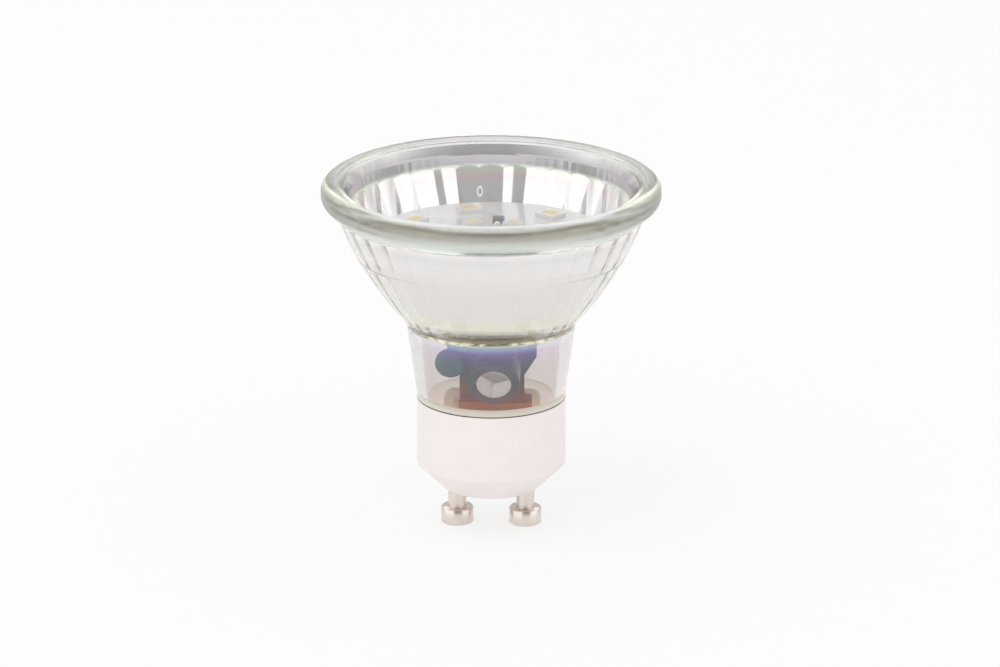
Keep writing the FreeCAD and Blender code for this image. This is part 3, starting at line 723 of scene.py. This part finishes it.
def clear_glass(name, tint, density):
    material, tree = new_material(name)
    values = {"Color": (1, 1, 1, 1), "Roughness": 0.0, "IOR": glass_ior}
    glass = add(tree, "ShaderNodeBsdfGlass", values).outputs[0]
    volume = add(tree, "ShaderNodeVolumeAbsorption", {"Color": tint, "Density": density}).outputs[0]
    finish_material(tree, let_lamps_through(tree, glass, cover_lamp_share), volume)
    return material

# %% [markdown]
# The inside of the cone carries a mirror film a few wavelengths thick. Its colour changes with height as its
# thickness does, and in the neck it is nearly clear and shows as rainbow colours over the dark parts. So the
# film is a table: at each height the colour that it mirrors, and the colour that it gives to what passes.

# %% Write down the mirror film
coating = [
    (seam, (0.15, 0.07, 0.05), (0.84, 0.77, 0.76)),
    (seam + 1.6 * MM, (0.16, 0.07, 0.05), (0.82, 0.76, 0.75)),
    (seam + 3.0 * MM, (0.13, 0.08, 0.10), (0.81, 0.75, 0.74)),
    (seam + 4.5 * MM, (0.07, 0.08, 0.08), (0.81, 0.75, 0.74)),
    (seam + 7.0 * MM, (0.09, 0.10, 0.12), (0.81, 0.75, 0.74)),
    (seam + 8.8 * MM, (0.13, 0.12, 0.22), (0.81, 0.75, 0.74)),
    (seam + 9.8 * MM, (0.22, 0.15, 0.40), (0.81, 0.75, 0.74)),
    (seam + 10.5 * MM, (0.32, 0.42, 0.64), (0.80, 0.78, 0.76)),
    (neck_head, (0.50, 0.56, 0.50), (0.70, 0.70, 0.62)),
    (neck_head + 0.6 * MM, (0.80, 0.82, 0.60), (0.65, 0.65, 0.55)),
    (neck_head + 2.3 * MM, (0.80, 0.80, 0.62), (0.60, 0.59, 0.55)),
    (neck_head + 3.0 * MM, (0.66, 0.64, 0.60), (0.45, 0.44, 0.43)),
    (neck_head + 3.6 * MM, (0.84, 0.84, 0.68), (0.45, 0.44, 0.43)),
    (neck_head + 6.0 * MM, (0.87, 0.87, 0.85), (0.40, 0.39, 0.38)),
    (ledge, (0.90, 0.89, 0.89), (0.40, 0.39, 0.38)),
    (reed_top - 2.8 * MM, (0.90, 0.90, 0.91), (0.40, 0.39, 0.40)),
    (reed_top - 1.6 * MM, (0.86, 0.88, 0.88), (1.00, 0.16, 0.10)),
    (reed_top - 0.5 * MM, (0.88, 0.85, 0.88), (0.72, 1.00, 0.40)),
    (reed_top + 0.2 * MM, (0.31, 0.30, 0.31), (0.10, 0.10, 0.11)),
    (band_top, (0.42, 0.41, 0.42), (0.10, 0.10, 0.11)),
    (cover_seat, (0.86, 0.84, 0.83), (0.25, 0.25, 0.25)),
]
film_low = coating[0][0]
film_high = coating[-1][0]


def film_stops(column):
    """Stops for a ramp over the film's height: column 1 is what it mirrors, column 2 what passes."""
    return [((row[0] - film_low) / (film_high - film_low), row[column]) for row in coating]


def height_share(tree, low, high):
    """0 at one height of the piece and 1 at another."""
    z = split(tree, place_on(tree))["Z"]
    return add(tree, "ShaderNodeMapRange", {0: z, 1: low, 2: high}).outputs[0]


print("the film is written down at", len(coating), "heights")

# %% [markdown]
# A small blister at the back left an oval ring of bare glass. A ring is where the distance from a middle is
# near one number, so it needs no picture.

# %% Leave a blister bare
blister_middle = (-2.54 * MM, 44.4 * MM)
blister_half = (0.42 * MM, 0.72 * MM)
blister_ring_at = 0.85
blister_ring_edges = (0.28, 0.12)


def blister_ring(tree, place):
    """1 on a thin oval ring on the back wall, where a blister left the glass bare."""
    x, y, z = split(tree, place)
    across = math_of(tree, "DIVIDE", math_of(tree, "SUBTRACT", x, blister_middle[0]), blister_half[0])
    along = math_of(tree, "DIVIDE", math_of(tree, "SUBTRACT", z, blister_middle[1]), blister_half[1])
    across = math_of(tree, "POWER", across, 2.0)
    along = math_of(tree, "POWER", along, 2.0)
    far = math_of(tree, "SQRT", math_of(tree, "ADD", across, along))
    off_ring = math_of(tree, "ABSOLUTE", math_of(tree, "SUBTRACT", far, blister_ring_at))
    ring = smooth_step(tree, off_ring, *blister_ring_edges)
    return math_of(tree, "MULTIPLY", ring, math_of(tree, "GREATER_THAN", y, 0.0))

# %% [markdown]
# The film is seen from two sides, from the air in the cone and through the glass. Each side has its own
# look: through the glass the mirror is duller, and what passes is nearly grey.

# %% Give the film its two sides
NONE = (0, 0, 0, 1)
ALL = (1, 1, 1, 1)
glass_side = (0.855, 0.825, 0.81, 1)
band_from_glass = (0.68, 0.715, 0.68, 1)
passed_from_glass = (1.0, 0.955, 0.945, 1)


def mirrored_colour(tree, share, on_band, inside, coated, bare):
    """What the film mirrors, and nothing where there is no film."""
    mirrored = ramp(tree, share, film_stops(1))
    through_glass = blend(tree, on_band, times(tree, mirrored, glass_side), band_from_glass)
    film = blend(tree, inside, mirrored, through_glass)
    film = blend(tree, coated, NONE, film)
    return blend(tree, bare, film, NONE)


def passed_colour(tree, share, inside, coated, bare, film):
    """What the film doesn't mirror, in the colour that it gives to what passes."""
    passed = ramp(tree, share, film_stops(2))
    grey = add(tree, "ShaderNodeRGBToBW", [passed]).outputs[0]
    passed = blend(tree, inside, passed, times(tree, grey, passed_from_glass))
    passed = blend(tree, bare, passed, ALL)
    rest = add(tree, "ShaderNodeInvert", {"Color": film}).outputs[0]
    return times(tree, rest, blend(tree, coated, ALL, passed))

# %% [markdown]
# The flanks of real reeds are softer than the solid's. The mesh keeps the solid's form, so the softness goes
# into the normal: seen through the glass, half of its turn round the axis is taken away.

# %% Soften the flanks of the reeds
flank_softness = 0.5


def rounded_normal(tree, share):
    """The normal with this share of its turn round the axis taken away."""
    normal = add(tree, "ShaderNodeNewGeometry").outputs["Normal"]
    x, y, z = split(tree, place_on(tree))
    along = add(tree, "ShaderNodeCombineXYZ", [math_of(tree, "MULTIPLY", y, -1.0), x, 0.0]).outputs[0]
    along = add(tree, "ShaderNodeVectorMath", [along], operation="NORMALIZE").outputs[0]
    turned = add(tree, "ShaderNodeVectorMath", [normal, along], operation="DOT_PRODUCT").outputs["Value"]
    part = add(tree, "ShaderNodeVectorMath", [along], operation="SCALE")
    tree.links.new(math_of(tree, "MULTIPLY", turned, share), part.inputs["Scale"])
    left = add(tree, "ShaderNodeVectorMath", [normal, part.outputs[0]], operation="SUBTRACT").outputs[0]
    return add(tree, "ShaderNodeVectorMath", [left], operation="NORMALIZE").outputs[0]

# %% [markdown]
# The ground spigot and the white base round it are not quite opaque: light soaks in, spreads and comes out
# inside, so the hollow of a real base is not black. Following each ray would take very long. Instead, a
# surface that soaks lets scattered light pass, and the ground glass sends its own outwards, away from the
# axis.

# %% Let light soak through matt walls
soaked = (1.0, 0.985, 0.97, 1)
ground_white = (0.95, 0.895, 0.82, 1)


def let_light_soak(tree, surface, where):
    """Lets the light pass that a matt white thing would spread inside itself."""
    passed = add(tree, "ShaderNodeBsdfTransparent", {"Color": soaked}).outputs[0]
    return add(tree, "ShaderNodeMixShader", [where, surface, passed]).outputs[0]


def outwardness(tree, normal, place):
    """More than 0 where a face looks away from the axis, less than 0 where it looks towards it."""
    product = add(tree, "ShaderNodeVectorMath", [normal, place], operation="MULTIPLY").outputs[0]
    x, y, z = split(tree, product)
    return math_of(tree, "ADD", x, y)


def ground_glass(tree, place):
    """The matt surface of the spigot."""
    normal = add(tree, "ShaderNodeNewGeometry").outputs["Normal"]
    inward = math_of(tree, "LESS_THAN", outwardness(tree, normal, place), 0.0)
    off_outside = add(tree, "ShaderNodeBsdfDiffuse", {"Color": ground_white}).outputs[0]
    through_wall = add(tree, "ShaderNodeBsdfTranslucent", {"Color": ground_white}).outputs[0]
    ground = add(tree, "ShaderNodeMixShader", [inward, off_outside, through_wall]).outputs[0]
    return let_light_soak(tree, ground, add(tree, "ShaderNodeLightPath").outputs["Is Diffuse Ray"])

# %% [markdown]
# The glass is one closed mesh with one material, and the film attribute says whether a face is clear, coated
# or ground. On coated faces a glass and a mirror are added up, and their colours never sum to more than
# white. The rim's skin gets a little roughness, and so does the mirror where it is seen through the glass.

# %% Make the coated glass
rim_haze = 0.28
rim_haze_from = cone_head - 0.3 * MM
rim_haze_full = cone_head + 0.8 * MM
mirror_haze = 0.12
body_lamp_share = 0.8


def coated_glass():
    """Clear, coated or ground glass, where the film attribute is 0, 1 or 2."""
    material, tree = new_material("coated_glass")
    place = place_on(tree)
    z = split(tree, place)["Z"]
    share = height_share(tree, film_low, film_high)
    on_band = math_of(tree, "GREATER_THAN", z, reed_top)
    inside = add(tree, "ShaderNodeNewGeometry").outputs["Backfacing"]
    kind = add(tree, "ShaderNodeAttribute", attribute_name="film").outputs["Fac"]
    coated = math_of(tree, "GREATER_THAN", kind, (CLEAR + COATED) / 2)
    matt = math_of(tree, "GREATER_THAN", kind, (COATED + MATT) / 2)
    bare = blister_ring(tree, place)
    film = mirrored_colour(tree, share, on_band, inside, coated, bare)
    rest = passed_colour(tree, share, inside, coated, bare, film)
    normal = rounded_normal(tree, math_of(tree, "MULTIPLY", inside, flank_softness))
    on_rim = math_of(tree, "MULTIPLY", smooth_step(tree, z, rim_haze_from, rim_haze_full), rim_haze)
    haze = math_of(tree, "MULTIPLY", on_rim, math_of(tree, "SUBTRACT", 1.0, coated))
    values = {"Color": rest, "Roughness": haze, "IOR": glass_ior, "Normal": normal}
    glass = add(tree, "ShaderNodeBsdfGlass", values).outputs[0]
    values = {"Color": film, "Roughness": math_of(tree, "MULTIPLY", inside, mirror_haze), "Normal": normal}
    mirror = add(tree, "ShaderNodeBsdfAnisotropic", values).outputs[0]
    surface = add(tree, "ShaderNodeAddShader", [glass, mirror]).outputs[0]
    surface = add(tree, "ShaderNodeMixShader", [matt, surface, ground_glass(tree, place)]).outputs[0]
    values = {"Color": glass_tint, "Density": glass_density}
    volume = add(tree, "ShaderNodeVolumeAbsorption", values).outputs[0]
    finish_material(tree, let_lamps_through(tree, surface, body_lamp_share), volume)
    return material

# %% [markdown]
# Now the body is turned. Ten steps for each reed keep its bulge smooth in the picture.

# %% Turn the glass body
reed_steps = 10
glass_body = turned_piece("glass_body", glass_points, coated_glass(), reed_steps, reed_turn)
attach(glass_body, "root")
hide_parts("glass_reflector")

# %% [markdown]
# The cover is a disc of clear glass on its seat in the rim. The same tree turns it and gives it the small
# bevel at its upper edge.

# %% Turn the front cover
cover_steps = 5
cover_edge = 0.15 * MM
cover_tint = (0.98, 0.99, 0.98, 1)
cover_density = 20.0
cover_radius = cover_high.x
cover_points = [
    plain_point(0.0, cover_seat),
    plain_point(cover_radius, cover_seat),
    plain_point(cover_radius, cover_high.z - cover_edge),
    plain_point(cover_radius - cover_edge, cover_high.z),
    plain_point(0.0, cover_high.z),
]
cover_glass = clear_glass("cover_glass", cover_tint, cover_density)
front_cover = turned_piece("clear_cover", cover_points, cover_glass, cover_steps)
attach(front_cover, "root")
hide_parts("front_cover")

# %% [markdown]
# The other pieces keep the form of their solids. Round ones are copied, their loose triangles are joined and
# they are shaded smooth, so that a facet doesn't show. Flat ones stay and only get a finish in their slots.

# %% Helpers that dress a solid
joined_within = 0.0002 * MM


def dress(material, *names):
    """Gives solids of the frame this finish."""
    for name in names:
        for slot in nodes[name].material_slots:
            slot.material = material


def smooth_copy(node, name, material, sharp=32):
    """A copy of a solid with joined, smoothly shaded faces, which stands for it."""
    mesh = nodes[node].data.copy()
    mesh.name = name
    shell = bmesh.new()
    shell.from_mesh(mesh)
    bmesh.ops.remove_doubles(shell, verts=shell.verts, dist=joined_within)
    shell.to_mesh(mesh)
    shell.free()
    mesh.materials.clear()
    mesh.materials.append(material)
    mesh.shade_smooth()
    mesh.set_sharp_from_angle(angle=math.radians(sharp))
    piece = bpy.data.objects.new(name, mesh)
    scene.collection.objects.link(piece)
    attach(piece, "root")
    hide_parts(node)
    print(name, "has", len(mesh.polygons), "faces")
    return piece

# %% [markdown]
# Light that has soaked through the base meets it from its hollow: on an inner wall, or from behind a face.
# So only such light may pass, and the outside of the base stays opaque.

# %% Find the light that comes from a hollow
soak_share = 0.97
facing_axis = -0.001


def from_inside(tree):
    """Nearly 1 for scattered light from the hollow of a round piece, and otherwise 0."""
    scattered = add(tree, "ShaderNodeLightPath").outputs["Is Diffuse Ray"]
    geometry = add(tree, "ShaderNodeNewGeometry").outputs
    outward = outwardness(tree, geometry["Normal"], place_on(tree))
    inward = math_of(tree, "LESS_THAN", outward, facing_axis)
    inner = math_of(tree, "MAXIMUM", inward, geometry["Backfacing"])
    return math_of(tree, "MULTIPLY", math_of(tree, "MULTIPLY", scattered, inner), soak_share)

# %% [markdown]
# Most finishes are one paint of a certain gloss with small faults: the colour drifts a little, the gloss is
# patchy, and the surface has a fine grain. A single function makes them all, so each finish is a short list.

# %% Make a finish with small faults
patch_low = 0.3
patch_high = 0.7
gloss_drift = 0.15
gloss_patches = 3
grain_strength = 0.6


def grain(tree, scale, detail=3.0):
    """Noise over the piece: scale is the number of grains in a millimetre."""
    values = {"Vector": place_on(tree), "Scale": scale / MM, "Detail": detail}
    return add(tree, "ShaderNodeTexNoise", values).outputs["Fac"]


def painted(
    name, colour, gloss_roughness, drift=0.06, drift_scale=0.25,
    relief=0.004, relief_scale=4.0, soaks=False, **sockets
):
    """Principled finish. drift is how far the colour wanders, relief the depth of its grain in mm."""
    material, tree = new_material(name)
    deep = tuple(value * (1 - drift) for value in colour)
    pale = tuple(min(1.0, value * (1 + drift)) for value in colour)
    tint = ramp(tree, grain(tree, drift_scale), [(patch_low, deep), (patch_high, pale)])
    values = {0: grain(tree, drift_scale * gloss_patches), 1: patch_low, 2: patch_high}
    values[3] = gloss_roughness * (1 - gloss_drift)
    values[4] = gloss_roughness * (1 + gloss_drift)
    rough = add(tree, "ShaderNodeMapRange", values).outputs[0]
    values = {"Strength": grain_strength, "Distance": relief * MM, "Height": grain(tree, relief_scale)}
    bump = add(tree, "ShaderNodeBump", values).outputs[0]
    values = {"Base Color": tint, "Roughness": rough, "Normal": bump}
    values.update({label.replace("_", " ").title(): value for label, value in sockets.items()})
    surface = add(tree, "ShaderNodeBsdfPrincipled", values).outputs[0]
    if soaks:
        surface = let_light_soak(tree, surface, from_inside(tree))
    finish_material(tree, surface)
    return material

# %% [markdown]
# The base is moulded from a warm white heat-proof plastic with a satin skin, so its grain is fine and
# shallow.

# %% Dress the base
base_white = painted(
    "base_white", (0.955, 0.89, 0.87), 0.38, drift=0.012, relief=0.003, relief_scale=6.0, soaks=True
)
smooth_copy("base_cap", "white_base", base_white)

# %% [markdown]
# The pins are turned from brass and nickel plated. The lathe leaves fine rings round them, and such rings
# smear a reflection upwards and downwards. So the metal is anisotropic, with its tangent round the axis and
# a quarter turn that sets the smear upright, and the rings are a fine wave along the height.

# %% Dress the pins
rings_per_mm = 9
ring_depth = 0.003 * MM
ring_strength = 0.25
nickel_scale = 0.4
nickel_deep = (0.76, 0.68, 0.63)
nickel_pale = (0.83, 0.75, 0.69)


def turned_nickel():
    """Nickel plate over the rings of a lathe."""
    material, tree = new_material("turned_nickel")
    height = split(tree, place_on(tree))["Z"]
    rings = math_of(tree, "SINE", math_of(tree, "MULTIPLY", height, 2 * math.pi * rings_per_mm / MM))
    bumps = {"Strength": ring_strength, "Distance": ring_depth, "Height": rings}
    stops = [(patch_low, nickel_deep), (patch_high, nickel_pale)]
    values = {
        "Base Color": ramp(tree, grain(tree, nickel_scale), stops),
        "Metallic": 1.0,
        "Roughness": 0.3,
        "Anisotropic": 0.75,
        "Anisotropic Rotation": 0.25,
        "Normal": add(tree, "ShaderNodeBump", bumps).outputs[0],
        "Tangent": add(tree, "ShaderNodeTangent", direction_type="RADIAL", axis="Z").outputs[0],
    }
    finish_material(tree, add(tree, "ShaderNodeBsdfPrincipled", values).outputs[0])
    return material


pin_nickel = turned_nickel()
smooth_copy("contact_pin_left", "left_pin", pin_nickel)
smooth_copy("contact_pin_right", "right_pin", pin_nickel)

# %% [markdown]
# The LED board is aluminium under a glossy pale lacquer. A coat over the colour mirrors the wall around it.
# Each LED is a white housing with a window of yellow phosphor.

# %% Dress the LED board and what is soldered on it
board_lacquer = painted(
    "board_lacquer", (0.82, 0.795, 0.80), 0.3, drift=0.03, relief=0.0005, relief_scale=1.2, coat_weight=1.0
)
led_white = painted("led_white", (1.0, 0.99, 0.97), 0.35, drift=0.01, coat_weight=1.0, coat_roughness=0.2)
phosphor = painted("phosphor", (1.0, 0.72, 0.30), 0.3, drift=0.08, drift_scale=2.0)
terminal_black = painted("terminal_black", (0.02, 0.02, 0.022), 0.35)
solder = painted("solder", (0.78, 0.78, 0.8), 0.18, metallic=1.0)
dress(board_lacquer, "led_board")
led_count = sum(name.endswith("_phosphor") for name in nodes)
for number in range(1, led_count + 1):
    dress(led_white, f"led_{number}_housing")
    dress(phosphor, f"led_{number}_phosphor")
dress(terminal_black, "board_terminals")
smooth_copy("board_solder", "solder_domes", solder, sharp=60)
print(led_count, "LEDs dressed")

# %% [markdown]
# Behind the neck's glass stands the driver. Its lower end looks orange-brown: that is the neck film's
# coloured reflection over the dark parts, painted here into their colour, and it fades out at its upper
# edge. It is only a colour, so it is mixed by height into the finish that is already there.

# %% Dress the dark parts, with the film's reflection painted on their lower end
# Painted reflection: the orange-brown that the neck's film mirrors onto the driver's foot, given as a
# colour.
painted_film_reflection = (0.42, 0.13, 0.06, 1)
painted_reflection_full = seam + 1.0 * MM
painted_reflection_gone = seam + 3.4 * MM


def paint_film_reflection_on_foot(material):
    """Paints the neck film's orange-brown reflection over the lowest part of a finish."""
    tree = material.node_tree
    skin = next(node for node in tree.nodes if node.type == "BSDF_PRINCIPLED")
    tint = skin.inputs["Base Color"].links[0].from_socket
    mixed = blend(tree, height_share(tree, painted_reflection_full, painted_reflection_gone), painted_film_reflection, tint)
    tree.links.new(mixed, skin.inputs["Base Color"])


circuit_board = painted("circuit_board", (0.02, 0.045, 0.045), 0.3, drift=0.15)
ferrite = painted("ferrite", (0.035, 0.032, 0.035), 0.5, drift=0.15)
former_plastic = painted("former_plastic", (0.05, 0.045, 0.045), 0.4)
# Painted reflection: the film's orange-brown is painted into the foot of these dark finishes.
for reflection_finish in (circuit_board, ferrite, former_plastic):
    paint_film_reflection_on_foot(reflection_finish)
dress(circuit_board, "driver_board")
dress(ferrite, "transformer_core_lower", "transformer_core_upper")
dress(former_plastic, "transformer_bobbin")
print("varnish up to", round(painted_reflection_gone / MM, 1), "mm")

# %% [markdown]
# A pale holder carries the board. The leads are tinned wire, and the small parts at the back are black.

# %% Dress the holder, the leads and the small parts
holder_plastic = painted("holder_plastic", (0.92, 0.84, 0.68), 0.4, drift=0.03, subsurface_weight=0.2)
tinned_wire = painted("tinned_wire", (0.75, 0.75, 0.76), 0.25, metallic=1.0)
seal_rubber = painted("seal_rubber", (0.03, 0.03, 0.03), 0.6)
chip_plastic = painted("chip_plastic", (0.02, 0.02, 0.02), 0.45)
dress(holder_plastic, "driver_holder")
dress(tinned_wire, "capacitor_leads", "varistor_leads", "transformer_pins", "fuse_resistor_leads")
dress(tinned_wire, "input_wire", "bridge_legs", "driver_chip_legs")
dress(seal_rubber, "capacitor_bung")
dress(chip_plastic, "bridge_rectifier", "driver_chip")

# %% [markdown]
# The round parts of the driver get smooth copies. The capacitor is a bare aluminium can in a shrunk sleeve,
# and its vented end looks through the neck towards the viewer.

# %% Dress the round parts of the driver
bare_aluminium = painted("bare_aluminium", (0.92, 0.92, 0.92), 0.42, drift=0.04, metallic=0.9)
dark_sleeve = painted("dark_sleeve", (0.06, 0.065, 0.075), 0.3, drift=0.1)
disc_coat = painted("disc_coat", (0.03, 0.17, 0.19), 0.25, drift=0.1)
winding_tape = painted("winding_tape", (0.55, 0.36, 0.10), 0.3)
resistor_coat = painted("resistor_coat", (0.30, 0.10, 0.05), 0.35)
wire_skin = painted("wire_skin", (0.75, 0.73, 0.70), 0.35)
smooth_copy("capacitor_can", "aluminium_can", bare_aluminium)
smooth_copy("capacitor_sleeve", "can_sleeve", dark_sleeve)
smooth_copy("varistor_disc", "coated_disc", disc_coat)
smooth_copy("transformer_winding", "taped_winding", winding_tape)
smooth_copy("fuse_resistor_body", "resistor_barrel", resistor_coat)
smooth_copy("output_wire_positive", "plus_wire", wire_skin)
smooth_copy("output_wire_negative", "minus_wire", wire_skin)
